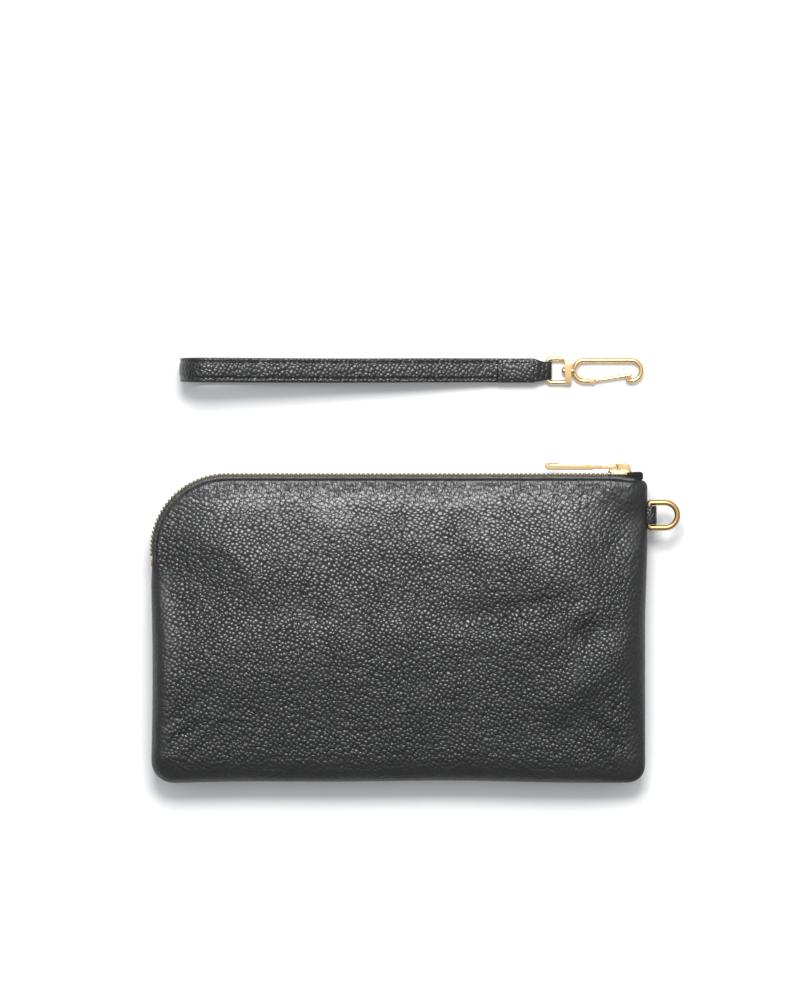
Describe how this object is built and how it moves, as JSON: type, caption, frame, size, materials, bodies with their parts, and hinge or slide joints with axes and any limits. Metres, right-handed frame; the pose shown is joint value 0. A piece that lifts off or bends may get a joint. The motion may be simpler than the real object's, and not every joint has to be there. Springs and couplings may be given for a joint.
{
  "type": "makeup bag",
  "caption": "Flat leather zip pouch with a rounded zip corner, lying on its back, and a detachable wrist strap with a swivel snap hook beside it.",
  "frame": {"origin": "middle of the flat back face, which rests on the table", "axes": "+X across the bag towards the D-ring, +Y towards the zip, +Z out of the front panel"},
  "size_m": [0.2587, 0.2084, 0.034],
  "materials": {
    "leather": "pebbled, satin",
    "lining": "plain twill",
    "zip_tape": "woven tape",
    "zip_teeth": "antique, worn on the crowns",
    "thread": "waxed thread",
    "gold": "polished pale gold"
  },
  "bodies": {
    "bag": {"back_panel": "leather", "front_panel": "leather", "back_lining": "lining", "front_lining": "lining", "back_tape": "zip_tape", "front_tape_end": "zip_tape", "back_teeth": "zip_teeth", "front_teeth_end": "zip_teeth", "back_stitching": "thread", "top_stops": "gold", "bottom_stop": "gold", "zip_end_tab": "zip_tape", "d_ring_tab": "leather"},
    "flap": {"mouth_flap": "leather", "flap_lining": "lining", "flap_tape": "zip_tape", "flap_teeth": "zip_teeth", "flap_stitching": "thread"},
    "slider": {"zip_slider": "gold", "slider_bridge": "gold"},
    "pull": {"zip_pull": "gold"},
    "ring": {"d_ring": "gold"},
    "strap": {"strap_outer": "leather", "strap_inner": "leather", "strap_connector": "leather", "strap_stitching": "thread"},
    "bail": {"swivel_bail": "gold"},
    "hook": {"swivel_post": "gold", "snap_hook": "gold", "gate_pin": "gold", "gate_spring": "gold"},
    "gate": {"hook_gate": "gold"}
  },
  "joints": [
    {"name": "mouth_open", "type": "hinge", "parent": "bag", "child": "flap", "pos_m": [-0.1208, 0.0298, 0.022], "axis": [0.9829, 0.1842, 0], "range_deg": [0, 45]},
    {"name": "zip_slide", "type": "slide", "parent": "bag", "child": "slider", "axis": [-1, 0, 0], "range_m": [0, 0.185]},
    {"name": "pull_flip", "type": "hinge", "parent": "slider", "child": "pull", "pos_m": [0.1057, 0.0785, 0.015], "axis": [0, 0, -1], "range_deg": [0, 150]},
    {"name": "d_ring_swing", "type": "hinge", "parent": "bag", "child": "ring", "pos_m": [0.1227, 0.0551, 0.016], "axis": [0, -1, 0], "range_deg": [-75, 80]},
    {"name": "strap_lift", "type": "slide", "parent": "bag", "child": "strap", "axis": [0, 0, 1], "range_m": [0, 0.15]},
    {"name": "bail_swing", "type": "hinge", "parent": "strap", "child": "bail", "pos_m": [0.0732, 0.1259, 0.0026], "axis": [0, -1, 0], "range_deg": [0, 110]},
    {"name": "hook_swivel", "type": "hinge", "parent": "bail", "child": "hook", "pos_m": [0.08505, 0.1259, 0.0026], "axis": [1, 0, 0], "continuous": true},
    {"name": "gate_press", "type": "hinge", "parent": "hook", "child": "gate", "pos_m": [0.0956, 0.12055, 0.0026], "axis": [0, 0, 1], "range_deg": [0, 14], "stiffness_Nm_per_rad": 0.005, "springref_deg": -11.46}
  ]
}
